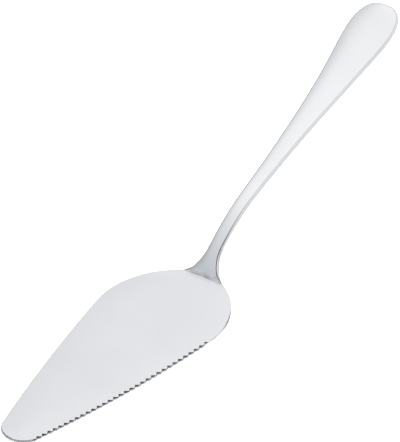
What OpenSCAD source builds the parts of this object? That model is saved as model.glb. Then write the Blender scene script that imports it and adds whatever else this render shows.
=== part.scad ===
// Cake server with one serrated edge: a thin flat blade, and a thicker handle whose foot
// is lapped and brazed on the blade's upturned tang.
// +X runs from the tip to the handle's end, +Y is the plain edge's side, Z = 0 is the table.

/* [Blade] */
// Length of the flat, from the tip to the start of the bend
blade_l = 130.5; // [112:0.5:150]
// Distance from the bend back to the widest part of the blade
heel_l = 30.3; // [27:0.1:36]
// Half width on the plain side, at the widest part
plain_half_w = 26; // [22:0.5:32]
// Half width on the serrated side, at the widest part
serrated_half_w = 27.6; // [22:0.1:32]
// Thickness of the blade's plate and of its tang
blade_t = 1.3; // [1:0.1:1.6]
// Radius of the rounded tip
tip_r = 9; // [6:0.5:12]
// Radius of the long bow of the plain edge
plain_flank_r = 930; // [600:5:1500]
// Radius of the long bow of the serrated edge
serrated_flank_r = 550; // [450:5:1200]
// Radius of the two round shoulders at the heel
heel_r = 36; // [32:0.5:38]
// Radius of the hollow sweep from the heel into the neck
fillet_r = 18.2; // [15:0.2:22]
// Thickness left at the ground edges
edge_t = 0.7; // [0.4:0.05:0.9]
// Width of the bevel ground on the underside, along the edges
bevel_w = 2.2; // [1:0.1:3.5]

/* [Serration] */
// Mean distance from one tooth to the next
tooth_pitch = 2.9; // [2.2:0.05:4.5]
// Depth from a tooth's crest to the gullet
tooth_depth = 1; // [0.4:0.05:1.4]
// Plain stretch of the edge between the tip's round and the first tooth
plain_tip_l = 6; // [3:0.5:12]
// Plain stretch of the edge between the last tooth and the heel's round
plain_heel_l = 0.6; // [0.4:0.1:6]

/* [Neck] */
// Width of the neck at its narrowest
neck_w = 5.9; // [4.5:0.1:8]
// Radius of the bend's underside, where the neck turns up from the blade
bend_r = 5.2; // [4.4:0.1:8]
// Angle of the neck just after the bend
neck_angle = 46.3; // [38:0.1:55]
// Length of the arc that eases the neck down to the handle's slope
neck_l = 37.9; // [30:0.1:46]
// Length of the narrow stretch, from the bend to the start of the flare
narrow_l = 23.3; // [20:0.1:30]

/* [Handle] */
// Length along the underside, from the bend to the end
handle_l = 148.1; // [130:0.1:170]
// Angle of the handle's straight stretch
handle_angle = 18.1; // [12:0.1:24]
// Length of that straight stretch
straight_l = 48.9; // [30:0.1:60]
// Angle of the handle's end, which lifts a little
end_angle = 25.2; // [19:0.1:30]
// Half width that the flare would have where the round end starts
flare_half_w = 9.2; // [7:0.1:12]
// Length of the round end
cap_l = 26; // [18:1:34]
// Thickness at the handle's edges
handle_t = 2.1; // [1.9:0.05:3]
// Rise of the handle's top along its centre line
crown_h = 0.25; // [0.05:0.05:0.4]
// Radius of the rounded edges
edge_r = 0.5; // [0.2:0.05:0.8]

/* [Joint] */
// Length of the tang under the neck, along the underside
tang_l = 15; // [12:0.5:20]
// Thickness of the foot's front edge, dressed almost flush with the blade
foot_edge_t = 0.1; // [0.1:0.05:0.3]
// Length over which the handle's crown grows out of the foot's flat top
foot_ramp_l = 8; // [6:0.5:12]
// Radius of the fine groove along the brazed seam
seam_r = 0.06; // [0.04:0.02:0.12]

/* [Hidden] */

// Steps along curves
arc_steps = 24;
heel_steps = 6;
tooth_steps = 8;
corner_steps = 3;
front_steps = 3;
bend_steps = 10;
tang_steps = 8;
neck_steps = 9;
straight_steps = 9;
flare_steps = 6;
cap_steps = 12;
flank_facets = 2400;
tip_facets = 180;

// Forms of the curves
cap_power = 2.42;
flare_power = 2.17;
tooth_spread_share = 0.07;
wave_sharp_share = 0.92;
crown_shares = [0.5, 0, -0.5];
corner_room_share = 0.45;
last_ring_share = 0.9985;
overrun = 1;
// The tip's bevel runs on under the flanks' by this angle, a hair outside their surfaces
tip_lap_angle = 1;
tip_lap_gap = 0.01;

// Places along the underside, measured from the tip
wide_x = blade_l - heel_l;
bend_l = bend_r * neck_angle * PI / 180;
neck_start = blade_l + bend_l;
tang_end = blade_l + tang_l;
flare_start = blade_l + narrow_l;
server_l = blade_l + handle_l;
cap_start = server_l - cap_l;
neck_end = neck_start + neck_l;
straight_end = neck_end + straight_l;
narrow_half_w = neck_w / 2;
// The foot's top is flat at the neck's slope, and starts where its edge stands on the bend
foot_lean = acos(min(1, (bend_r - handle_t) / (bend_r - blade_t - foot_edge_t)));
foot_start = blade_l + bend_r * max(0, neck_angle - foot_lean) * PI / 180;

// The underside as stretches of [length, slope at its start, slope at its end]
stretches = [
    [blade_l, 0, 0],
    [bend_l, 0, neck_angle],
    [neck_l, neck_angle, handle_angle],
    [straight_l, handle_angle, handle_angle],
    [server_l - straight_end, handle_angle, end_angle]
];

// A straight stretch runs on, and a curved one is an arc whose radius is length over turn
function stretch_move(s, run) =
    let (turn = s[2] - s[1], slope = s[1] + turn * run / s[0])
    turn == 0
        ? run * [cos(s[1]), sin(s[1])]
        : s[0] / (turn * PI / 180) * [sin(slope) - sin(s[1]), cos(s[1]) - cos(slope)];

// Point of the underside at distance u, and its slope there: [x, z, slope]
function underside(u, i = 0, from = [0, 0]) =
    let (s = stretches[i])
    u > s[0] && i < len(stretches) - 1
        ? underside(u - s[0], i + 1, from + stretch_move(s, s[0]))
        : let (at = from + stretch_move(s, u))
          [at[0], at[1], s[1] + (s[2] - s[1]) * u / s[0]];

// Points [y, height over the underside] of a section, stood square to the sheet at u
function stood(u, points) =
    let (at = underside(u))
    [for (p = points) [at[0] - p[1] * sin(at[2]), p[0], at[1] + p[1] * cos(at[2])]];

centre_x = underside(server_l)[0] / 2;
centre_y = (plain_half_w - serrated_half_w) / 2;

// Outline of one side of the blade: arcs round the tip, along the flank, round the heel
// and back into the neck, each tangent to the next
tip_centre = [tip_r, 0];
function heel_centre(half_w) = [wide_x, half_w - heel_r];
function flank_centre(half_w, flank_r) =
    let (
        gap = heel_centre(half_w) - tip_centre,
        span = norm(gap),
        along = ((flank_r - tip_r) ^ 2 - (flank_r - heel_r) ^ 2 + span ^ 2) / (2 * span),
        off = sqrt((flank_r - tip_r) ^ 2 - along ^ 2),
        unit = gap / span
    )
    tip_centre + along * unit + off * [unit[1], -unit[0]];
function fillet_centre(half_w) =
    let (y = narrow_half_w + fillet_r, rise = y - heel_centre(half_w)[1])
    [wide_x + sqrt((heel_r + fillet_r) ^ 2 - rise ^ 2), y];
function heading(from, to) = atan2(to[1] - from[1], to[0] - from[0]);
function flank_from(half_w, flank_r) = heading(flank_centre(half_w, flank_r), tip_centre);
function flank_to(half_w, flank_r) =
    heading(flank_centre(half_w, flank_r), heel_centre(half_w));
function heel_to(half_w) = heading(heel_centre(half_w), fillet_centre(half_w));
function polar(centre, r, angle) = centre + r * [cos(angle), sin(angle)];
function arc(centre, r, a, b, steps = arc_steps) =
    [for (i = [0:steps]) polar(centre, r, a + (b - a) * i / steps)];

// Half width of the neck's outline at distance u, from the heel's arc to the narrow stretch
function root_half_w(half_w, u) =
    let (h = heel_centre(half_w), f = fillet_centre(half_w))
    u >= f[0]
        ? narrow_half_w
        : u > h[0] + heel_r * cos(heel_to(half_w))
            ? f[1] - sqrt(fillet_r ^ 2 - (f[0] - u) ^ 2)
            : h[1] + sqrt(heel_r ^ 2 - (u - h[0]) ^ 2);

// Half width of the handle at distance u: a flare that the round end closes
function flare(u) =
    narrow_half_w + (flare_half_w - narrow_half_w)
        * (max(u - flare_start, 0) / (cap_start - flare_start)) ^ flare_power;
function cap_share(u) =
    (1 - (max(u - cap_start, 0) / cap_l) ^ cap_power) ^ (1 / cap_power);
function half_w_at(half_w, u) =
    u < flare_start ? root_half_w(half_w, u) : flare(u) * cap_share(u);

// The serrated flank: a triangle wave with softened crests, carried along the flank's arc
function wave(t) = asin(wave_sharp_share * sin(360 * t)) / asin(wave_sharp_share);
function serrated_flank() =
    let (
        centre = flank_centre(serrated_half_w, serrated_flank_r),
        per_degree = serrated_flank_r * PI / 180,
        start = flank_from(serrated_half_w, serrated_flank_r),
        a = start - plain_tip_l / per_degree,
        b = flank_to(serrated_half_w, serrated_flank_r) + plain_heel_l / per_degree,
        teeth = max(1, round((a - b) * per_degree / tooth_pitch)),
        points = teeth * tooth_steps
    )
    concat(
        [polar(centre, serrated_flank_r, start)],
        [for (i = [0:points])
            let (t = i / points, spread = t + tooth_spread_share * t * (t - 1))
            polar(centre, serrated_flank_r + tooth_depth / 2 * wave(t * teeth),
                a + (b - a) * spread)]
    );

// One side of the blade's flat, up to the line where the bend starts
function flat_root(half_w) =
    let (
        h = heel_centre(half_w),
        meet = min(h[0] + heel_r * cos(heel_to(half_w)), blade_l)
    )
    concat(
        [for (i = [1:arc_steps]) let (u = h[0] + (meet - h[0]) * i / arc_steps)
            [u, root_half_w(half_w, u)]],
        meet < blade_l ? [[blade_l, root_half_w(half_w, blade_l)]] : []
    );
function plain_side() = concat(
    arc(tip_centre, tip_r, 180, flank_from(plain_half_w, plain_flank_r)),
    arc(flank_centre(plain_half_w, plain_flank_r), plain_flank_r,
        flank_from(plain_half_w, plain_flank_r), flank_to(plain_half_w, plain_flank_r)),
    arc(heel_centre(plain_half_w), heel_r,
        flank_to(plain_half_w, plain_flank_r), 90, heel_steps),
    flat_root(plain_half_w)
);
function serrated_side() = concat(
    arc(tip_centre, tip_r, 180, flank_from(serrated_half_w, serrated_flank_r)),
    serrated_flank(),
    arc(heel_centre(serrated_half_w), heel_r,
        flank_to(serrated_half_w, serrated_flank_r), 90, heel_steps),
    flat_root(serrated_half_w)
);
function mirrored(points) = [for (i = [len(points) - 1:-1:0]) [points[i][0], -points[i][1]]];

// Rounded section of the handle: [y, height over the underside], anticlockwise
function corner(y, z, r, a) =
    [for (i = [0:corner_steps]) polar([y, z], r, a + 90 * i / corner_steps)];
function section(left, right, low, high, r_low, r_high, crown) = concat(
    corner(right - r_high, high - r_high, r_high, 0),
    [for (k = crown_shares)
        let (mid = (right - left) / 2, half = (right + left) / 2 - r_high)
        [mid + k * half, high + crown * (1 - k ^ 2)]],
    corner(-left + r_high, high - r_high, r_high, 90),
    corner(-left + r_low, low + r_low, r_low, 180),
    corner(right - r_low, low + r_low, r_low, 270)
);

// Height of the foot's flat top over the bend's underside, and of the handle's edges beyond it
function top_at(u) =
    u < neck_start ? bend_r - (bend_r - handle_t) / cos(neck_angle - underside(u)[2]) : handle_t;

// One ring of the handle at distance u. Over the tang it starts at the tang's top face.
function crown_share(u) =
    let (t = min(1, (u - foot_start) / foot_ramp_l)) t * t * (3 - 2 * t);
function ring(u, over_tang) =
    let (
        near_end = min(1, max(0, u - (server_l - edge_r)) / edge_r),
        tuck = edge_r * (1 - sqrt(1 - near_end ^ 2)),
        low = (over_tang ? blade_t : 0) + tuck,
        high = top_at(u) - tuck,
        r_high = min(edge_r, corner_room_share * (high - low)),
        left = half_w_at(serrated_half_w, u),
        right = half_w_at(plain_half_w, u),
        crown = crown_h * crown_share(u) * min(1, min(left, right) / flare_half_w)
    )
    stood(u, section(left, right, low, high, over_tang ? seam_r : r_high, r_high, crown));

// Stations of the foot's rings, of the tang under it, and of the rest of the handle
function even(a, b, n, first = 1) = [for (i = [first:n]) a + (b - a) * i / n];
foot_stations = concat(
    even(foot_start, neck_start, bend_steps, 0),
    even(neck_start, tang_end, tang_steps)
);
tang_stations = concat(
    foot_start > blade_l ? even(blade_l, foot_start, front_steps, 0) : [blade_l],
    [for (i = [1:len(foot_stations) - 1]) foot_stations[i]]
);
handle_stations = concat(
    [tang_end],
    even(tang_end, neck_end, neck_steps),
    even(neck_end, straight_end, straight_steps),
    even(straight_end, cap_start, flare_steps),
    [for (i = [1:cap_steps]) cap_start + cap_l * last_ring_share * sin(90 * i / cap_steps)]
);

module loft(rings) {
    count = len(rings[0]);
    sides = [for (i = [0:len(rings) - 2], j = [0:count - 1])
        let (k = (j + 1) % count, a = i * count, b = (i + 1) * count)
        each [[a + j, b + k, a + k], [a + j, b + j, b + k]]];
    start = [for (j = [0:count - 1]) j];
    end = [for (j = [count - 1:-1:0]) (len(rings) - 1) * count + j];
    polyhedron([for (r = rings) each r], concat(sides, [start, end]), convexity = 10);
}

// Plan of the tang's top face, which narrows into the neck as the sheet turns up
module tang_plan() {
    plain = [for (u = tang_stations) stood(u, [[root_half_w(plain_half_w, u), blade_t]])[0]];
    serrated = [for (u = tang_stations) stood(u, [[root_half_w(serrated_half_w, u), blade_t]])[0]];
    end_x = underside(tang_end)[0] + overrun;
    polygon(concat(
        [for (p = plain) [p[0], p[1]]],
        [[end_x, narrow_half_w], [end_x, -narrow_half_w]],
        mirrored(serrated)
    ));
}

// Side view of the tang: the sheet's underside, and its top face back again
module tang_profile() {
    faces = [for (u = tang_stations) stood(u, [[0, 0], [0, blade_t]])];
    polygon(concat(
        [for (f = faces) [f[0][0], f[0][2]]],
        [for (i = [len(faces) - 1:-1:0]) [faces[i][1][0], faces[i][1][2]]]
    ));
}

module tang() {
    intersection() {
        translate([0, 0, -overrun])
            linear_extrude(tang_l + 2 * overrun)
                tang_plan();
        translate([0, heel_r, 0])
            rotate([90, 0, 0])
                linear_extrude(2 * heel_r)
                    tang_profile();
    }
}

// Cutter for a bevel under the edge, which follows the edge's arc and runs out past its ends
module bevel_ring(centre, r, from, sweep, facets) {
    rise = blade_t - edge_t;
    translate([centre[0], centre[1], 0])
        rotate([0, 0, from])
            rotate_extrude(angle = sweep, $fn = facets)
                polygon([
                    [r - 2 * bevel_w, -rise],
                    [r + bevel_w, -rise],
                    [r + bevel_w, 2 * rise]
                ]);
}

module flank_bevel(half_w, flank_r) {
    a = flank_from(half_w, flank_r);
    b = flank_to(half_w, flank_r);
    past = heel_r / 2 / (flank_r * PI / 180);
    bevel_ring(flank_centre(half_w, flank_r), flank_r, b - past, a - b + past, flank_facets);
}

module blade() {
    tip_from = flank_from(plain_half_w, plain_flank_r) - tip_lap_angle;
    tip_to = 360 - flank_from(serrated_half_w, serrated_flank_r) + tip_lap_angle;
    color([0.89, 0.895, 0.905])
        translate([-centre_x, -centre_y, 0])
            difference() {
                union() {
                    linear_extrude(blade_t)
                        polygon(concat(plain_side(), mirrored(serrated_side())));
                    tang();
                }
                flank_bevel(plain_half_w, plain_flank_r);
                mirror([0, 1, 0])
                    flank_bevel(serrated_half_w, serrated_flank_r);
                bevel_ring(tip_centre, tip_r + tip_lap_gap, tip_from, tip_to - tip_from, tip_facets);
            }
}

module handle() {
    color([0.83, 0.84, 0.86])
        translate([-centre_x, -centre_y, 0])
            loft(concat(
                [for (u = foot_stations) ring(u, true)],
                [for (u = handle_stations) ring(u, false)]
            ));
}

blade();
handle();
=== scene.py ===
# A steel cake server, dressed for a plain studio picture.
# Lengths are millimetres and angles are degrees until a mesh or the camera is made. Places and
# lengths inside materials are metres.
import math

import bmesh
import bpy
import numpy as np
from mathutils import Matrix, Vector


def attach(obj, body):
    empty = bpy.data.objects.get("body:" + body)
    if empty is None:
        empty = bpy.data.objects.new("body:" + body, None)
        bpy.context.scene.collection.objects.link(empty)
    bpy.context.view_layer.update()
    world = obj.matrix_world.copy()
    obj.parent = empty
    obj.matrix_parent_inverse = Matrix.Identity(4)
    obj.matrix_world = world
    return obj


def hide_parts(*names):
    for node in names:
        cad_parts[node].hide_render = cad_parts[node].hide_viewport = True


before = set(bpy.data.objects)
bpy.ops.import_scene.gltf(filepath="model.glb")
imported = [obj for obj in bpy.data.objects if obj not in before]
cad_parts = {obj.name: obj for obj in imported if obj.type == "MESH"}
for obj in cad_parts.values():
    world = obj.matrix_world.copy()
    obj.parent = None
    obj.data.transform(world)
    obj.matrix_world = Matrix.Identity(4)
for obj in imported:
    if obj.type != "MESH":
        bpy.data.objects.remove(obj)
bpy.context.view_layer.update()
print("frame loaded, nodes:", sorted(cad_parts))

mm = 0.001
mergeWithin = 0.004     # points closer than this are one
wearReach = 0.7         # over which the wear along an edge fades


# The sheet: both pieces are cut flat from (along, across) and laid on one bent underside

sheet = {
    "flatLength": 130.5,     # from the tip to the bend
    "bendRadius": 5.2,
    "neckAngle": 46.3,       # just after the bend
    "neckLength": 37.9,
    "handleAngle": 18.1,
    "straightLength": 48.9,
    "endAngle": 25.2,
    "handleLength": 148.1,   # from the bend to the end
    "neckWidth": 5.9,
    "bendRows": (126.0, 137.0),  # rows of points crowd together between these
    "seamPastBend": 1.3,     # middle of the painted crease shade over the brazed joint
}
bendLength = sheet["bendRadius"] * math.radians(sheet["neckAngle"])
totalLength = sheet["flatLength"] + sheet["handleLength"]
neckHalf = sheet["neckWidth"] / 2
lastLength = sheet["handleLength"] - bendLength - sheet["neckLength"] - sheet["straightLength"]
stretches = (
    (sheet["flatLength"], 0, 0),
    (bendLength, 0, sheet["neckAngle"]),
    (sheet["neckLength"], sheet["neckAngle"], sheet["handleAngle"]),
    (sheet["straightLength"], sheet["handleAngle"], sheet["handleAngle"]),
    (lastLength, sheet["handleAngle"], sheet["endAngle"]),
)


def underside(along):
    # Sum of the moves along each stretch: a run of length r on an arc of radius R = length / turn
    # moves by R (sin slope - sin start) forwards and R (cos start - cos slope) up
    x, z, slope, start = np.zeros_like(along), np.zeros_like(along), np.zeros_like(along), 0.0
    for length, slopeFrom, slopeTo in stretches:
        run = np.clip(along - start, 0, length)
        first, turn = math.radians(slopeFrom), math.radians(slopeTo - slopeFrom)
        if turn:
            radius, now = length / turn, first + turn * run / length
            x += radius * (np.sin(now) - math.sin(first))
            z += radius * (math.cos(first) - np.cos(now))
        else:
            x += run * math.cos(first)
            z += run * math.sin(first)
        slope += turn * run / length
        start += length
    return x, z, slope


def layOnSheet(along, across, height):
    # The underside's point, plus height times its normal (-sin slope, cos slope)
    x, z, slope = underside(along)
    return np.stack((x - height * np.sin(slope), across, z + height * np.cos(slope)), axis=-1)


def smoothRise(value, low, high):
    # 0 below low, 1 above high, and 3t^2 - 2t^3 between them
    t = np.clip((value - low) / (high - low), 0, 1)
    return t * t * (3 - 2 * t)


# Meshes

def outwardNormals(along, across):
    # The outline's tangent, turned by a quarter, pointing to the side of larger across
    tangent = np.stack((np.gradient(along), np.gradient(across)), axis=-1)
    tangent /= np.linalg.norm(tangent, axis=-1, keepdims=True)
    return np.stack((-tangent[:, 1], tangent[:, 0]), axis=-1)


def meshFromHalves(name, halves, places, edges, ground):
    # Each half is a grid of rows along its outline and columns from the underside's centre line,
    # round the edge, to the top's centre line. Points that the halves share are merged after.
    points, faces, start = [], [], 0
    for grid, flip in halves:
        rows, columns = grid.shape[:2]
        index = np.arange(rows * columns).reshape(rows, columns) + start
        quad = np.stack((index[:-1, :-1], index[1:, :-1], index[1:, 1:], index[:-1, 1:]), axis=-1)
        quad = quad.reshape(-1, 4)
        faces.append(quad[:, ::-1] if flip else quad)
        points.append(grid.reshape(-1, 3))
        start += rows * columns
    mesh = bpy.data.meshes.new(name)
    mesh.from_pydata(np.vstack(points) * mm, [], np.vstack(faces))
    place = mesh.attributes.new("sheetPlace", "FLOAT_VECTOR", "POINT")
    place.data.foreach_set("vector", (np.vstack(places) * mm).astype(np.float32).ravel())
    edge = mesh.attributes.new("edgeNear", "FLOAT", "POINT")
    edge.data.foreach_set("value", np.concatenate(edges).astype(np.float32))
    # Mask of where dark reflections are painted on the edges and corners
    edgeShadeLayer = mesh.attributes.new("groundFace", "FLOAT", "POINT")
    edgeShadeLayer.data.foreach_set("value", np.concatenate(ground).astype(np.float32))
    work = bmesh.new()
    work.from_mesh(mesh)
    bmesh.ops.remove_doubles(work, verts=work.verts, dist=mergeWithin * mm)
    bmesh.ops.holes_fill(work, edges=[e for e in work.edges if e.is_boundary])
    bmesh.ops.recalc_face_normals(work, faces=work.faces)
    work.to_mesh(mesh)
    work.free()
    mesh.shade_smooth()
    piece = bpy.data.objects.new(name, mesh)
    bpy.context.scene.collection.objects.link(piece)
    print(name, "made:", len(mesh.vertices), "points")
    return piece


# Blade

blade = {
    "heelLength": 30.3,       # from the bend back to the widest part
    "plainHalf": 26.0,
    "serratedHalf": 27.6,
    "thickness": 1.3,
    "tipRadius": 9.0,
    "plainBow": 930.0,        # radius of each long edge
    "serratedBow": 550.0,
    "heelRadius": 36.0,
    "filletRadius": 18.2,
    "edgeThickness": (0.7, 0.42),  # at the plain and the serrated edge
    "thinFrom": (1.0, 12.0),  # where the serrated edge grows thin, from the tip
    "thinTo": 6.0,            # and how far before the widest part it starts to grow thick again
    "bevelWidth": 2.2,
    "topArris": (0.26, 0.08),  # radius of the broken corners, on the plain and the serrated side
    "lowArris": 0.1,
    "toothPitch": 2.9,
    "toothDepth": 1.3,
    "toothCrest": 0.5,        # how far the crests stand outside the edge's line
    "toothFade": (0.2, 1.7),  # how far inside the edge the rows stop following the teeth
    "plainAtTip": 6.0,
    "plainAtHeel": 0.6,
    "toothSpread": 0.07,
    "addedTeeth": 3,          # nearer the tip than the plain solid has them
    "waveSharpness": 0.92,
    "tangLength": 15.0,
    "rollDepth": 0.1,         # how far the polished top falls towards the edges
    "rollWidth": 14.0,
    "rollEnds": (116.0, 128.0),
    "flatTo": 3.0,            # how far before the bend the bevel and the roll are over
    "tipLead": 4.0,           # keeps the rows apart on the centre line at the tip
    "leadEnds": (20.0, 80.0),
    "rows": (56, 560, 10, 56, 66, 24),  # tip, long edge, heel's top, heel, bend, tang
    "nearColumns": (0.18, 0.3, 0.5, 0.8, 1.2, 1.6, 1.9, 2.1, 2.2, 2.3, 2.5, 2.7),
    "farColumns": 8,
    "farPower": 1.2,
    "arcSteps": 5,
}
# Painted dark reflection on the cut faces: how dark, from 0 to 1, and how far that reaches onto the top
edgeShading = {
    "plain": 0.47,
    "teeth": 0.9,             # on the faces of the teeth that look towards the tip
    "steep": (0.1, 0.5),      # slopes between which a face counts as looking towards the heel
    "heelStart": (88.0, 94.0),
    "heel": (0.12, 0.7),      # at the start of the heel's round and on its far side
    "heelRise": (4.0, 12.0),  # where the far side begins and ends, from the widest part
    "heelFall": (14.0, 24.0),
    "plateEnds": (14.0, 26.0),
    "reach": 0.1,
    "heelReach": 0.2,         # more than that on the heel's far side
    "toothReach": 0.14,       # and on the teeth
    "soft": 0.08,
}
wideAt = sheet["flatLength"] - blade["heelLength"]
tangEnd = sheet["flatLength"] + blade["tangLength"]
centreShift = np.array([underside(np.array([totalLength]))[0][0] / 2,
                        (blade["plainHalf"] - blade["serratedHalf"]) / 2, 0.0])


def flankCircle(half, bow):
    # Centre of the long edge's arc, which touches the tip's and the heel's circles from inside
    tip, heel = np.array([blade["tipRadius"], 0.0]), np.array([wideAt, half - blade["heelRadius"]])
    toTip, toHeel = bow - blade["tipRadius"], bow - blade["heelRadius"]
    span = np.hypot(*(heel - tip))
    forward = (toTip ** 2 - toHeel ** 2 + span ** 2) / (2 * span)
    unit = (heel - tip) / span
    centre = tip + forward * unit + math.sqrt(toTip ** 2 - forward ** 2) * np.array([unit[1], -unit[0]])
    turn = [math.atan2(*(point - centre)[::-1]) for point in (tip, heel)]
    return centre, turn[0], turn[1]


def rootHalfWidth(along, half):
    # The heel's circle, then the hollow circle that touches it and the neck's straight side
    heelRadius, fillet = blade["heelRadius"], blade["filletRadius"]
    heelY, filletY = half - heelRadius, neckHalf + fillet
    filletX = wideAt + math.sqrt((heelRadius + fillet) ** 2 - (filletY - heelY) ** 2)
    meet = wideAt + heelRadius * (filletX - wideAt) / (heelRadius + fillet)
    onHeel = heelY + np.sqrt(np.clip(heelRadius ** 2 - (along - wideAt) ** 2, 0, None))
    onFillet = filletY - np.sqrt(np.clip(fillet ** 2 - np.clip(filletX - along, 0, None) ** 2, 0, None))
    return np.where(along < meet, onHeel, onFillet)


def toothWave(turns):
    # A triangle wave with softened crests: arcsine of a slightly shrunken sine
    sharp = blade["waveSharpness"]
    return np.arcsin(sharp * np.sin(2 * np.pi * turns)) / math.asin(sharp)


def toothPush(run, edgeLength):
    # How far the teeth push the edge outwards at each distance along it. Teeth widen towards the
    # heel: share = t + k t (t - 1), solved for t. The crests stay where the plain solid has them,
    # however deep the gullets are.
    serrated = edgeLength - blade["plainAtTip"] - blade["plainAtHeel"]
    teeth = max(1, round(serrated / blade["toothPitch"]))
    k = blade["toothSpread"]
    share = (run - blade["plainAtTip"]) / serrated
    t = (k - 1 + np.sqrt(np.clip((1 - k) ** 2 + 4 * k * share, 0, None))) / (2 * k)
    inside = (t * teeth >= -blade["addedTeeth"]) & (share <= 1)
    push = blade["toothDepth"] / 2 * (toothWave(t * teeth) - 1) + blade["toothCrest"]
    return np.where(inside, push, 0)


def bladeOutline(half, bow, toothed):
    # Half an outline from the tip's nose to the tang's end, and how far the teeth push it outwards
    centre, turnFrom, turnTo = flankCircle(half, bow)
    tipRadius, heelRadius = blade["tipRadius"], blade["heelRadius"]
    tipRows, flankRows, topRows, heelRows, bendRows, tangRows = blade["rows"]
    bendFrom, bendTo = sheet["bendRows"]
    tipTurn = np.linspace(np.pi, turnFrom, tipRows, endpoint=False)
    flankTurn = np.linspace(turnFrom, turnTo, flankRows, endpoint=False)
    topTurn = np.linspace(turnTo, np.pi / 2, topRows, endpoint=False)
    rear = np.concatenate((
        np.linspace(wideAt, bendFrom, heelRows, endpoint=False),
        np.linspace(bendFrom, bendTo, bendRows, endpoint=False),
        np.linspace(bendTo, tangEnd, tangRows)))
    along = np.concatenate((
        tipRadius * (1 + np.cos(tipTurn)), centre[0] + bow * np.cos(flankTurn),
        wideAt + heelRadius * np.cos(topTurn), rear))
    across = np.concatenate((
        tipRadius * np.sin(tipTurn), centre[1] + bow * np.sin(flankTurn),
        half - heelRadius * (1 - np.sin(topTurn)), rootHalfWidth(rear, half)))
    push = np.zeros_like(along)
    if toothed:
        # Distance along the edge from the point where the tip's circle meets the long edge
        run = np.concatenate((tipRadius * (turnFrom - tipTurn), bow * (turnFrom - flankTurn)))
        push[:len(run)] = toothPush(run, bow * (turnFrom - turnTo))
    return along, across, push


def bladeUnderside(along, across, half, bow, edgeThickness):
    # Height of the ground bevel: it rises evenly over its width up to the edge, along the tip's
    # circle and the long edge's circle, and the higher of the two holds
    rise, width, tipRadius = blade["thickness"] - edgeThickness, blade["bevelWidth"], blade["tipRadius"]
    centre, turnFrom, _ = flankCircle(half, bow)
    flank = bow - np.hypot(along - centre[0], across - centre[1])
    tip = tipRadius - np.hypot(along - tipRadius, across)
    beside = np.arctan2(across, along - tipRadius) < turnFrom
    return np.clip(rise * (1 - np.where(beside, flank, np.minimum(flank, tip)) / width), 0, None)


def edgeColumns(nearInsets, farShares, lowRadius, highRadius, arcSteps):
    # Columns of a section, from the underside's centre line to the top's: how far each lies inside
    # the edge, its share of the rest of the way to the centre line, whether it is on top, and how
    # far a rounded corner lifts or lowers it
    turn = np.linspace(0, np.pi / 2, arcSteps)
    inset = np.concatenate((np.full(len(farShares), nearInsets[-1]), nearInsets[::-1],
                            lowRadius * (1 - np.sin(turn)), highRadius * (1 - np.sin(turn[::-1])),
                            nearInsets, np.full(len(farShares), nearInsets[-1])))
    far = np.concatenate((farShares[::-1], np.zeros(len(inset) - 2 * len(farShares)), farShares))
    top = np.arange(len(inset)) >= len(farShares) + len(nearInsets) + arcSteps
    flat = np.zeros(len(farShares) + len(nearInsets))
    lift = np.concatenate((flat, lowRadius * (1 - np.cos(turn)),
                           -highRadius * (1 - np.cos(turn[::-1])), flat))
    return inset, far, top, lift


def bladeEdgeThickness(along, toothed):
    # One column of values, thinner where the edge is serrated
    plain, thin = blade["edgeThickness"]
    share = smoothRise(along, *blade["thinFrom"]) * (1 - smoothRise(along, wideAt - blade["thinTo"], wideAt))
    return plain + (thin - plain) * toothed * share[:, None]


def bladeRoll(fromEdge, x):
    # The top falls as the square of what is left of the roll's width, and not near the bend
    depth = blade["rollDepth"] * (1 - np.clip(fromEdge / blade["rollWidth"], 0, 1)) ** 2
    return depth * (1 - smoothRise(x, *blade["rollEnds"]))


def bladeEdgeShade(along, across, push, inset, top, x):
    # Painted dark reflection: the face of each tooth that looks towards the heel is darker, and the
    # heel's far side darker than the start of its round
    stepLength = np.hypot(np.gradient(along), np.gradient(across))
    towardsHeel = smoothRise(-np.gradient(push) / stepLength, *edgeShading["steep"])
    hasTooth = np.abs(push) > 0
    fromWidest = along - wideAt
    farSide = smoothRise(fromWidest, *edgeShading["heelRise"]) * (1 - smoothRise(fromWidest, *edgeShading["heelFall"]))
    plain = np.interp(along, edgeShading["heelStart"], (edgeShading["plain"], edgeShading["heel"][0]))
    plain += farSide * (edgeShading["heel"][1] - edgeShading["heel"][0])
    level = np.where(hasTooth, edgeShading["teeth"] + (1 - edgeShading["teeth"]) * towardsHeel, plain)
    onTop = edgeShading["reach"] + edgeShading["heelReach"] * farSide + edgeShading["toothReach"] * hasTooth
    reach = np.where(top, onTop[:, None], blade["bevelWidth"])
    onPlate = 1 - smoothRise(x - wideAt, *edgeShading["plateEnds"])
    return np.clip((reach - inset) / edgeShading["soft"], 0, 1) * onPlate * level[:, None]


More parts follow.
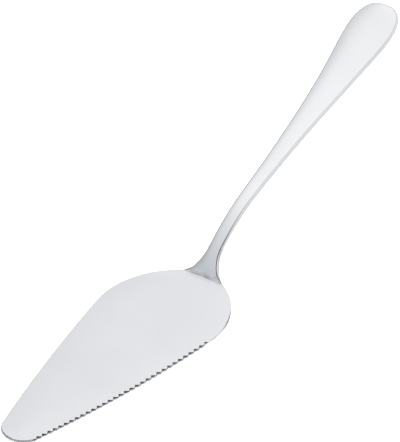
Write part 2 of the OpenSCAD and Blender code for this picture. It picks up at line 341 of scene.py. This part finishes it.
def makeBlade():
    near = np.array(blade["nearColumns"])
    farShare = np.linspace(0, 1, blade["farColumns"] + 1)[1:] ** blade["farPower"]
    sides = ((blade["plainHalf"], blade["plainBow"], False, 1),
             (blade["serratedHalf"], blade["serratedBow"], True, -1))
    outlines = [bladeOutline(half, bow, toothed) for half, bow, toothed, _ in sides]
    mean = (outlines[0][0] + outlines[1][0]) / 2
    lead = blade["tipLead"] * (1 - smoothRise(mean, *blade["leadEnds"]))
    centreLine = np.sqrt(mean ** 2 + lead ** 2)
    thickness = blade["thickness"]
    halves, places, edges, ground = [], [], [], []
    for (half, bow, toothed, mirror), (along, across, push), arris in zip(sides, outlines, blade["topArris"]):
        inset, far, top, lift = edgeColumns(near, farShare, blade["lowArris"], arris, blade["arcSteps"])
        normal = outwardNormals(along, across)
        normal[0] = (-1, 0)
        normal[along > tangEnd - 1.5 * neckHalf] = (0, 1)
        fade = 1 - smoothRise(inset, *blade["toothFade"])
        shift = push[:, None] * fade - inset
        x = along[:, None] + normal[:, :1] * shift
        y = across[:, None] + normal[:, 1:] * shift
        x += (centreLine[:, None] - x) * far
        y -= y * far
        roll = bladeRoll(np.hypot(along[:, None] - x, across[:, None] - y), x)
        low = bladeUnderside(x, y, half, bow, bladeEdgeThickness(along, toothed))
        ofPlate = np.where(top, thickness - roll, low)
        ofSheet = np.where(top, thickness, 0)
        height = np.where(x > sheet["flatLength"] - blade["flatTo"], ofSheet, ofPlate) + lift
        grid = layOnSheet(x, y * mirror, height) - centreShift
        halves.append((grid, mirror > 0))
        places.append(np.stack((x, y * mirror, height), axis=-1).reshape(-1, 3))
        edges.append((np.exp(-inset / wearReach) * np.ones_like(x)).ravel())
        ground.append(bladeEdgeShade(along, across, push, inset, top, x).ravel())
    return meshFromHalves("blade_sheet", halves, places, edges, ground)


# Handle

handle = {
    "thickness": 2.1,
    "flareStart": 23.3,       # from the bend
    "flareHalf": 9.2,
    "flarePower": 2.17,
    "endLength": 26.0,        # of the round end
    "endPower": 2.42,
    "footEdge": 0.04,         # the foot's front edge, feathered on the bend
    "footRamp": 8.0,          # over which the crown grows
    "edgeRadius": 0.5,
    "cornerShare": 0.45,      # the most of the foot's thickness that a rounded corner takes
    "crown": 0.25,
    "crownPower": 2.6,
    "footDip": (0.12, 0.55),  # how far the foot's front corners lie lower, on the plain and serrated side
    "footDipSides": (3.5, 7.5),
    "footDipEnds": (132.0, 137.0),
    "neckRoll": 0.2,          # how far the neck's top falls towards its serrated side
    "neckRollWidth": 1.3,
    "neckRollEnds": (142.0, 172.0),
    "lowLine": 0.3,           # height of the painted dark reflection along the lower corner
    "lowLineLevel": 0.55,
    "topLineAt": (142.0, 172.0, 235.0, 256.0),  # the same along the upper corners
    "topLineSides": ((0.0, 0.3, 0.25, 0.25), (1.0, 0.45, 0.3, 0.4)),
    "topLineDrop": (0.8, 0.05),  # how far down the corner it reaches, as a share of the radius
    "topLineWidth": 0.6,
    "endLead": 5.0,           # keeps the rows apart on the centre line at the end
    "leadEnds": (200.0, 262.0),
    "rows": (60, 30, 20, 170, 110),  # bend, tang, neck, flare, round end
    "stepRun": 0.02,          # length of the step at the tang's end
    "nearColumns": (0.56, 0.75, 1.0),
    "farColumns": 14,
    "arcSteps": 8,
    "inside": 0.002,          # keeps the bar within the plain solid
}


def handleHalfWidth(along):
    # A flare that grows as a power of the distance, closed by a superellipse over the round end
    start, closing = sheet["flatLength"] + handle["flareStart"], totalLength - handle["endLength"]
    flare = neckHalf + (handle["flareHalf"] - neckHalf) * (
        np.clip(along - start, 0, None) / (closing - start)) ** handle["flarePower"]
    shut = np.clip((along - closing) / handle["endLength"], 0, 1) ** handle["endPower"]
    return flare * (1 - shut) ** (1 / handle["endPower"])


def footTop(along):
    # In the bend the foot's top is a plane at the neck's slope. Measured from the bend's centre it
    # lies at (bend radius - thickness) over the cosine of the turn that is left.
    left = np.radians(sheet["neckAngle"]) - underside(along)[2]
    plane = sheet["bendRadius"] - (sheet["bendRadius"] - handle["thickness"]) / np.cos(left)
    return np.where(along < sheet["flatLength"] + bendLength, plane, handle["thickness"])


footLean = math.acos((sheet["bendRadius"] - handle["thickness"]) / (
    sheet["bendRadius"] - blade["thickness"] - handle["footEdge"]))
footStart = sheet["flatLength"] + sheet["bendRadius"] * (math.radians(sheet["neckAngle"]) - footLean)


def handleOutline(half):
    # Rows at even steps, then rows that crowd together as the sine of an even angle at the end
    flareStart, closing = sheet["flatLength"] + handle["flareStart"], totalLength - handle["endLength"]
    bendTo = sheet["bendRows"][1]
    bendRows, tangRows, neckRows, flareRows, endRows = handle["rows"]
    along = np.concatenate((
        np.linspace(footStart, bendTo, bendRows, endpoint=False),
        np.linspace(bendTo, tangEnd - handle["stepRun"], tangRows),
        np.linspace(tangEnd, flareStart, neckRows, endpoint=False),
        np.linspace(flareStart, closing, flareRows, endpoint=False),
        closing + handle["endLength"] * np.sin(np.linspace(0, np.pi / 2, endRows))))
    across = np.where(along < flareStart, rootHalfWidth(along, half), handleHalfWidth(along))
    return along, across


def handleTop(along, across, x, y, fromEdge, width, mirror, dipDepth):
    # The crown follows what is left from the edge to a power. The neck's top rolls off as a square
    # towards the serrated side, and the foot's front corners dip.
    grown = smoothRise(along, footStart, footStart + handle["footRamp"])
    crown = handle["crown"] * grown * np.clip(width / handle["flareHalf"], 0, 1) * (
        1 - (1 - np.clip(fromEdge, 0, 1)) ** handle["crownPower"])
    roll = handle["neckRoll"] * (mirror < 0) * grown * np.clip(
        1 - (across - y) / handle["neckRollWidth"], 0, 1) ** 2
    roll = roll * (1 - smoothRise(x, *handle["neckRollEnds"]))
    dip = dipDepth * smoothRise(y, *handle["footDipSides"]) * (1 - smoothRise(x, *handle["footDipEnds"]))
    return footTop(along) + crown - roll - dip


def makeHandle():
    radius = handle["edgeRadius"]
    near = np.array(handle["nearColumns"])
    farShare = np.linspace(0, 1, handle["farColumns"] + 1)[1:]
    inset, far, top, lift = edgeColumns(near, farShare, radius, radius, handle["arcSteps"])
    atEdge = far == 0
    # Painted dark reflections along the lower and upper corners
    lowLine = ~top & atEdge & (lift > 0) & (lift < handle["lowLine"])
    topLines = [top & atEdge & (inset < handle["topLineWidth"]) & (lift > -drop * radius)
                for drop in handle["topLineDrop"]]
    inset = inset + handle["inside"]
    halves, places, edges, ground = [], [], [], []
    narrower = handleOutline(min(blade["plainHalf"], blade["serratedHalf"]))[1]
    sides = zip((blade["plainHalf"], blade["serratedHalf"]), (1, -1), handle["footDip"], topLines,
                handle["topLineSides"])
    for half, mirror, dipDepth, topLine, levels in sides:
        along, across = handleOutline(half)
        normal = outwardNormals(along, across)
        normal[-1] = (1, 0)
        normal[0] = (0, 1)
        lead = handle["endLead"] * smoothRise(along, *handle["leadEnds"])
        centreLine = totalLength - np.sqrt((totalLength - along) ** 2 + lead ** 2)
        overTang = along < tangEnd - handle["stepRun"] / 2
        low = np.where(overTang, blade["thickness"], 0.0)
        # Rounded corners shrink where the foot is thin, so they never cross
        room = np.clip(handle["cornerShare"] * (footTop(along) - low) / radius, 0, 1)[:, None]
        x = along[:, None] - normal[:, :1] * inset
        y = across[:, None] - normal[:, 1:] * inset
        reach = 1 - far
        x = centreLine[:, None] + (x - centreLine[:, None]) * reach
        y = y * reach
        fromEdge = 1 - np.hypot(x - centreLine[:, None], y) / np.hypot(along - centreLine, across)[:, None]
        width = np.interp(centreLine, along, narrower)[:, None]
        high = handleTop(along[:, None], across[:, None], x, y, fromEdge, width, mirror, dipDepth)
        height = np.where(top, high, low[:, None]) + lift * room
        grid = layOnSheet(x, y * mirror, height) - centreShift
        halves.append((grid, mirror > 0))
        places.append(np.stack((x, y * mirror, height), axis=-1).reshape(-1, 3))
        edges.append((np.exp(-inset / wearReach) * np.ones_like(x)).ravel())
        arris = topLine * np.interp(x, handle["topLineAt"], levels)
        ground.append((lowLine * handle["lowLineLevel"] + arris).ravel())
    return meshFromHalves("handle_bar", halves, places, edges, ground)


bladePiece = makeBlade()
handlePiece = makeHandle()
for piece, node, slotName in ((bladePiece, "blade", "blade_steel"), (handlePiece, "handle", "handle_steel")):
    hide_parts(node)
    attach(piece, "root")


# Finishes

def newGroup(name, inputs, outputs):
    group = bpy.data.node_groups.new(name, "ShaderNodeTree")
    for label, kind, value in inputs:
        socket = group.interface.new_socket(label, in_out="INPUT", socket_type=kind)
        if value is not None:
            socket.default_value = value
    for label, kind in outputs:
        group.interface.new_socket(label, in_out="OUTPUT", socket_type=kind)
    return group, group.nodes.new("NodeGroupInput"), group.nodes.new("NodeGroupOutput")


def addNode(tree, kind, links=(), **settings):
    node = tree.nodes.new(kind)
    for name, value in settings.items():
        setattr(node, name, value)
    for socket, source in links:
        if isinstance(source, bpy.types.NodeSocket):
            tree.links.new(source, node.inputs[socket])
        else:
            node.inputs[socket].default_value = source
    return node


def mixColours(tree, share, first, second):
    return addNode(tree, "ShaderNodeMix", (
        (0, share), (6, first), (7, second)), data_type="RGBA").outputs[2]


def mixValues(tree, share, first, second):
    return addNode(tree, "ShaderNodeMix", (
        (0, share), (2, first), (3, second)), data_type="FLOAT").outputs[0]


def combine(tree, operation, first, second, **settings):
    return addNode(tree, "ShaderNodeMath", (
        (0, first), (1, second)), operation=operation, **settings).outputs[0]


def mapRange(tree, value, start, end, first, last, kind="LINEAR"):
    return addNode(tree, "ShaderNodeMapRange", (
        (0, value), (1, start), (2, end), (3, first), (4, last)), interpolation_type=kind).outputs[0]


def makePolishGroup():
    # Fine marks of a polishing wheel: noise stretched along the sheet, in two widths
    group, given, made = newGroup(
        "polishMarks",
        (("Place", "NodeSocketVector", None), ("Along", "NodeSocketFloat", 60.0),
         ("Across", "NodeSocketFloat", 4200.0)),
        (("Height", "NodeSocketFloat"), ("Roughness", "NodeSocketFloat")))
    stretch = addNode(group, "ShaderNodeCombineXYZ", (
        (0, given.outputs["Along"]), (1, given.outputs["Across"]), (2, given.outputs["Along"])))
    place = addNode(group, "ShaderNodeVectorMath", (
        (0, given.outputs["Place"]), (1, stretch.outputs[0])), operation="MULTIPLY")
    fine = addNode(group, "ShaderNodeTexNoise", (
        ("Vector", place.outputs[0]), ("Scale", 1.0), ("Detail", 3.0), ("Roughness", 0.6)))
    wide = addNode(group, "ShaderNodeVectorMath", ((0, place.outputs[0]), ("Scale", 0.21)), operation="SCALE")
    broad = addNode(group, "ShaderNodeTexNoise", (
        ("Vector", wide.outputs[0]), ("Scale", 1.0), ("Detail", 2.0), ("Roughness", 0.5)))
    both = combine(group, "ADD", fine.outputs[0], broad.outputs[0])
    group.links.new(combine(group, "MULTIPLY", both, 0.5), made.inputs["Height"])
    group.links.new(broad.outputs[0], made.inputs["Roughness"])
    return group


def makeHandlingGroup():
    # Faint clouding from wiping and handling: soft noise at two sizes
    group, given, made = newGroup(
        "handlingClouds",
        (("Place", "NodeSocketVector", None), ("Size", "NodeSocketFloat", 38.0)),
        (("Cloud", "NodeSocketFloat"),))
    soft = addNode(group, "ShaderNodeTexNoise", (
        ("Vector", given.outputs["Place"]), ("Scale", given.outputs["Size"]), ("Detail", 4.0),
        ("Roughness", 0.55), ("Distortion", 0.6)))
    shaped = mapRange(group, soft.outputs[0], 0.35, 0.7, 0.0, 1.0, "SMOOTHSTEP")
    group.links.new(shaped, made.inputs["Cloud"])
    return group


def makeEdgeGroup():
    # Wear along edges: the distance mask, broken up by noise
    group, given, made = newGroup(
        "edgeWear",
        (("Place", "NodeSocketVector", None), ("Edge", "NodeSocketFloat", 0.0),
         ("Amount", "NodeSocketFloat", 1.0)),
        (("Wear", "NodeSocketFloat"),))
    noise = addNode(group, "ShaderNodeTexNoise", (
        ("Vector", given.outputs["Place"]), ("Scale", 420.0), ("Detail", 3.0), ("Roughness", 0.6)))
    broken = mapRange(group, noise.outputs[0], 0.3, 0.65, 0.55, 1.0)
    worn = combine(group, "MULTIPLY", given.outputs["Edge"], broken)
    scaled = combine(group, "MULTIPLY", worn, given.outputs["Amount"], use_clamp=True)
    group.links.new(scaled, made.inputs["Wear"])
    return group


def makeCreaseShadeGroup():
    # Painted shade in the crease at the bend, over a slightly duller braze: a soft dark band across
    # the sheet, which bows towards the handle at its ends. It is the product of a rise before its middle and
    # a fall after it.
    group, given, made = newGroup(
        "seamTint",
        (("Place", "NodeSocketVector", None), ("Where", "NodeSocketFloat", 0.1318),
         ("Bow", "NodeSocketFloat", 0.0012), ("Before", "NodeSocketFloat", 0.004),
         ("After", "NodeSocketFloat", 0.002), ("Amount", "NodeSocketFloat", 0.1)),
        (("Tint", "NodeSocketFloat"),))
    axes = addNode(group, "ShaderNodeSeparateXYZ", ((0, given.outputs["Place"]),))
    aside = addNode(group, "ShaderNodeMath", ((0, axes.outputs[1]),), operation="ABSOLUTE")
    bow = mapRange(group, aside.outputs[0], 0.004, 0.008, 0.0, given.outputs["Bow"], "SMOOTHSTEP")
    middle = combine(group, "ADD", given.outputs["Where"], bow)
    past = combine(group, "SUBTRACT", axes.outputs[0], middle)
    back = combine(group, "MULTIPLY", given.outputs["Before"], -1.0)
    rise = mapRange(group, past, back, 0.0, 0.0, 1.0, "SMOOTHSTEP")
    fall = mapRange(group, past, 0.0, given.outputs["After"], 1.0, 0.0, "SMOOTHSTEP")
    band = combine(group, "MULTIPLY", rise, fall)
    scaled = combine(group, "MULTIPLY", band, given.outputs["Amount"])
    group.links.new(scaled, made.inputs["Tint"])
    return group


finishGroups = {
    "polish": makePolishGroup(), "handling": makeHandlingGroup(), "edge": makeEdgeGroup(),
    "seam": makeCreaseShadeGroup(),
}

# The nearly black colour here is painted dark reflection on the cut edges, teeth and heel
bladeFinish = {
    "colour": (0.838, 0.846, 0.868, 1), "clouded": (0.828, 0.837, 0.86, 1), "worn": (0.86, 0.866, 0.882, 1),
    "ground": (0.012, 0.0124, 0.013, 1), "groundRoughness": 0.2,
    "roughness": (0.15, 0.19), "along": 55.0, "across": 5200.0, "markDepth": 0.003, "cloudSize": 30.0,
    "edgeWear": 0.8, "seamTint": 0.26,
}
# Colour of the painted shade in the crease at the bend, partly a duller braze
creaseShadeAndBraze = (0.1, 0.1, 0.1, 1)
markRange = (0.3, 1.5)        # of the marks and the clouds together, spread over the roughness
markStrength = 0.35
# The dark colour here is painted dark reflection along the handle's corners
handleFinish = {
    "colour": (0.85, 0.857, 0.875, 1), "clouded": (0.842, 0.85, 0.868, 1), "worn": (0.87, 0.876, 0.89, 1),
    "ground": (0.16, 0.162, 0.168, 1), "groundRoughness": 0.3,
    "roughness": (0.07, 0.1), "along": 70.0, "across": 3600.0, "markDepth": 0.002, "cloudSize": 45.0,
    "edgeWear": 0.7, "seamTint": 0.16,
}


def makeSteel(name, finish):
    material = bpy.data.materials.new(name)
    material.use_nodes = True
    tree = material.node_tree
    shader = tree.nodes["Principled BSDF"]
    shader.inputs["Metallic"].default_value = 1.0
    place = addNode(tree, "ShaderNodeAttribute", attribute_name="sheetPlace").outputs["Vector"]
    edge = addNode(tree, "ShaderNodeAttribute", attribute_name="edgeNear").outputs["Fac"]
    ground = addNode(tree, "ShaderNodeAttribute", attribute_name="groundFace").outputs["Fac"]

    def placed(group, *links):
        return addNode(tree, "ShaderNodeGroup", (("Place", place),) + links, node_tree=finishGroups[group])

    marks = placed("polish", ("Along", finish["along"]), ("Across", finish["across"]))
    clouds = placed("handling", ("Size", finish["cloudSize"]))
    wear = placed("edge", ("Edge", edge), ("Amount", finish["edgeWear"]))
    seam = placed("seam", ("Where", (sheet["flatLength"] + sheet["seamPastBend"]) * mm),
                  ("Amount", finish["seamTint"]))
    tone = mixColours(tree, clouds.outputs["Cloud"], finish["colour"], finish["clouded"])
    bright = mixColours(tree, wear.outputs["Wear"], tone, finish["worn"])
    # Painted shade in the crease at the bend, over a slightly duller braze
    creaseShaded = mixColours(tree, seam.outputs["Tint"], bright, creaseShadeAndBraze)
    # Painted dark reflections on the edges and corners, by the mask made with the meshes
    colour = mixColours(tree, ground, creaseShaded, finish["ground"])
    tree.links.new(colour, shader.inputs["Base Color"])
    mixed = combine(tree, "ADD", marks.outputs["Roughness"], clouds.outputs["Cloud"])
    rough = mapRange(tree, mixed, *markRange, *finish["roughness"])
    tree.links.new(mixValues(tree, ground, rough, finish["groundRoughness"]), shader.inputs["Roughness"])
    bump = addNode(tree, "ShaderNodeBump", (
        ("Height", marks.outputs["Height"]), ("Strength", markStrength),
        ("Distance", finish["markDepth"] * mm)))
    tree.links.new(bump.outputs[0], shader.inputs["Normal"])
    return material


bladePiece.data.materials.append(makeSteel("satinBladeSteel", bladeFinish))
handlePiece.data.materials.append(makeSteel("polishedHandleSteel", handleFinish))
print("finishes made")


# Studio

white = (1, 1, 1, 1)
studio = {
    "floorColour": 0.6,
    "floorSeen": 3.0,         # its colour on camera rays
    "floorMirrored": 1.25,    # and on glossy and transmission rays
    "floorSize": 6000.0,
    "floorDrop": 0.02,        # below the blade's underside
    # The sky's level is a product of soft ramps along its axes: axis, start, end, levels there
    "skyRamps": (
        (0, -0.7, 0.3, 0.7, 1.05),
        (1, 0.44, 0.60, 1.0, 0.64),
        (1, 0.58, 0.80, 1.0, 0.55),
        (2, 0.3, 0.86, 0.84, 1.0),
        (2, 0.0, 0.34, 0.22, 1.0),
    ),
    "roomShade": (0.75, 0.97, 1.0, 0.12),  # dark room in front of the blade: cosines and levels
    "dimSky": (0.92, 0.97, 1.0, 1),
    "dimLevels": (0.6, 0.95),              # the tint goes from full to none between these levels
}


def makeFloor():
    size = studio["floorSize"] / 2 * mm
    mesh = bpy.data.meshes.new("studio_floor")
    corner = np.array([[-size, -size], [size, -size], [size, size], [-size, size]])
    mesh.from_pydata(np.column_stack((corner, np.full(4, -studio["floorDrop"] * mm))), [], [(0, 1, 2, 3)])
    floor = bpy.data.objects.new("studio_floor", mesh)
    bpy.context.scene.collection.objects.link(floor)
    material = bpy.data.materials.new("whiteFloor")
    material.use_nodes = True
    tree = material.node_tree
    tree.nodes.remove(tree.nodes["Principled BSDF"])
    # Paler to the camera and in mirrors than to the light that it throws back
    path = addNode(tree, "ShaderNodeLightPath")
    mirrored = combine(tree, "MAXIMUM", path.outputs["Is Glossy Ray"], path.outputs["Is Transmission Ray"])
    level = mixValues(tree, mirrored, studio["floorColour"], studio["floorMirrored"])
    seen = mixValues(tree, path.outputs["Is Camera Ray"], level, studio["floorSeen"])
    paint = addNode(tree, "ShaderNodeBsdfDiffuse", (("Color", seen),))
    tree.links.new(paint.outputs[0], tree.nodes["Material Output"].inputs["Surface"])
    mesh.materials.append(material)


def makeSky():
    world = bpy.data.worlds.new("studioSky")
    bpy.context.scene.world = world
    world.use_nodes = True
    tree = world.node_tree
    direction = addNode(tree, "ShaderNodeTexCoord").outputs["Generated"]
    axes = addNode(tree, "ShaderNodeSeparateXYZ", ((0, direction),))
    total = 1.0
    for axis, *rise in studio["skyRamps"]:
        total = combine(tree, "MULTIPLY", total, mapRange(tree, axes.outputs[axis], *rise, "SMOOTHSTEP"))
    towards = addNode(tree, "ShaderNodeVectorMath", (
        (0, direction), (1, tuple(viewAxes()[2]))), operation="DOT_PRODUCT").outputs["Value"]
    shade = mapRange(tree, towards, *studio["roomShade"], "SMOOTHSTEP")
    total = combine(tree, "MULTIPLY", total, shade)
    bright = mapRange(tree, total, *studio["dimLevels"], 0.0, 1.0)
    tint = mixColours(tree, bright, studio["dimSky"], white)
    # The camera sees plain white
    seen = addNode(tree, "ShaderNodeLightPath").outputs["Is Camera Ray"]
    background = tree.nodes["Background"]
    tree.links.new(mixColours(tree, seen, tint, white), background.inputs["Color"])
    tree.links.new(mixValues(tree, seen, total, 1.0), background.inputs["Strength"])


# Camera, placed by azimuth, elevation and the pixel where the tip lies

view = {
    "azimuth": -55.67, "elevation": 34.72, "distance": 2600.0, "pixelsPerMm": 2.5,
    "frame": (400, 442), "tipPixel": (17.17, 433.04), "focusAlong": 130.0, "sensor": 36.0,
    "clip": (0.05, 50.0),     # metres
}


def viewAxes():
    # Right, up and back, as seen from the camera
    azimuth, elevation = math.radians(view["azimuth"]), math.radians(view["elevation"])
    back = Vector((math.sin(azimuth) * math.cos(elevation),
                   -math.cos(azimuth) * math.cos(elevation), math.sin(elevation)))
    right = Vector((math.cos(azimuth), math.sin(azimuth), 0))
    return right, back.cross(right), back


def makeCamera():
    right, up, back = viewAxes()
    wide, tall = view["frame"]
    aside = (wide / 2 - view["tipPixel"][0]) / view["pixelsPerMm"]
    above = (view["tipPixel"][1] - tall / 2) / view["pixelsPerMm"]
    place = right * aside + up * above + back * (view["focusAlong"] * back.x + view["distance"])
    data = bpy.data.cameras.new("studioCamera")
    # The sensor's width spans the picture's longer side
    data.sensor_width = view["sensor"]
    data.lens = view["sensor"] * view["distance"] * view["pixelsPerMm"] / max(wide, tall)
    data.clip_start, data.clip_end = view["clip"]
    camera = bpy.data.objects.new("studioCamera", data)
    turn = Matrix((right, up, back)).transposed().to_4x4()
    camera.matrix_world = Matrix.Translation((place - Vector(centreShift)) * mm) @ turn
    bpy.context.scene.collection.objects.link(camera)
    bpy.context.scene.camera = camera


makeFloor()
makeSky()
makeCamera()
bpy.context.scene.view_settings.view_transform = "Standard"
print("studio made")
